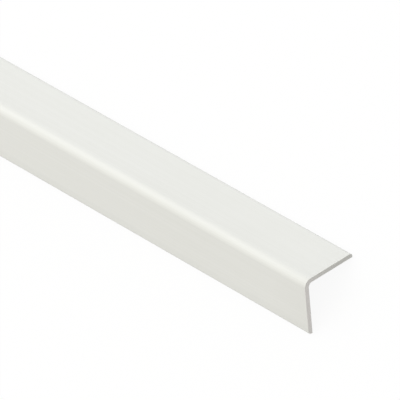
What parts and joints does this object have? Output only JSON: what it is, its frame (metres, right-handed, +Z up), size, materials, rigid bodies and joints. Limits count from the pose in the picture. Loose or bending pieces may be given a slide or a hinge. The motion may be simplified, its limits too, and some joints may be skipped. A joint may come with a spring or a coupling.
{
  "type": "corner guard moulding",
  "caption": "Equal-leg plastic angle moulding with a rounded ridge, a uniform thin wall and rounded free edges, sawn square, for protecting an outside wall corner.",
  "frame": {"origin": "at floor level under the ridge, in the middle of the length", "axes": "+X along the length towards one sawn end, +Z up through the ridge, +Y across, so that the legs slope down to +Y and -Y"},
  "size_m": [1, 0.0342, 0.0177],
  "materials": {
    "rigid_pvc": "satin"
  },
  "bodies": {
    "root": {"corner_guard": "rigid_pvc"}
  },
  "joints": []
}
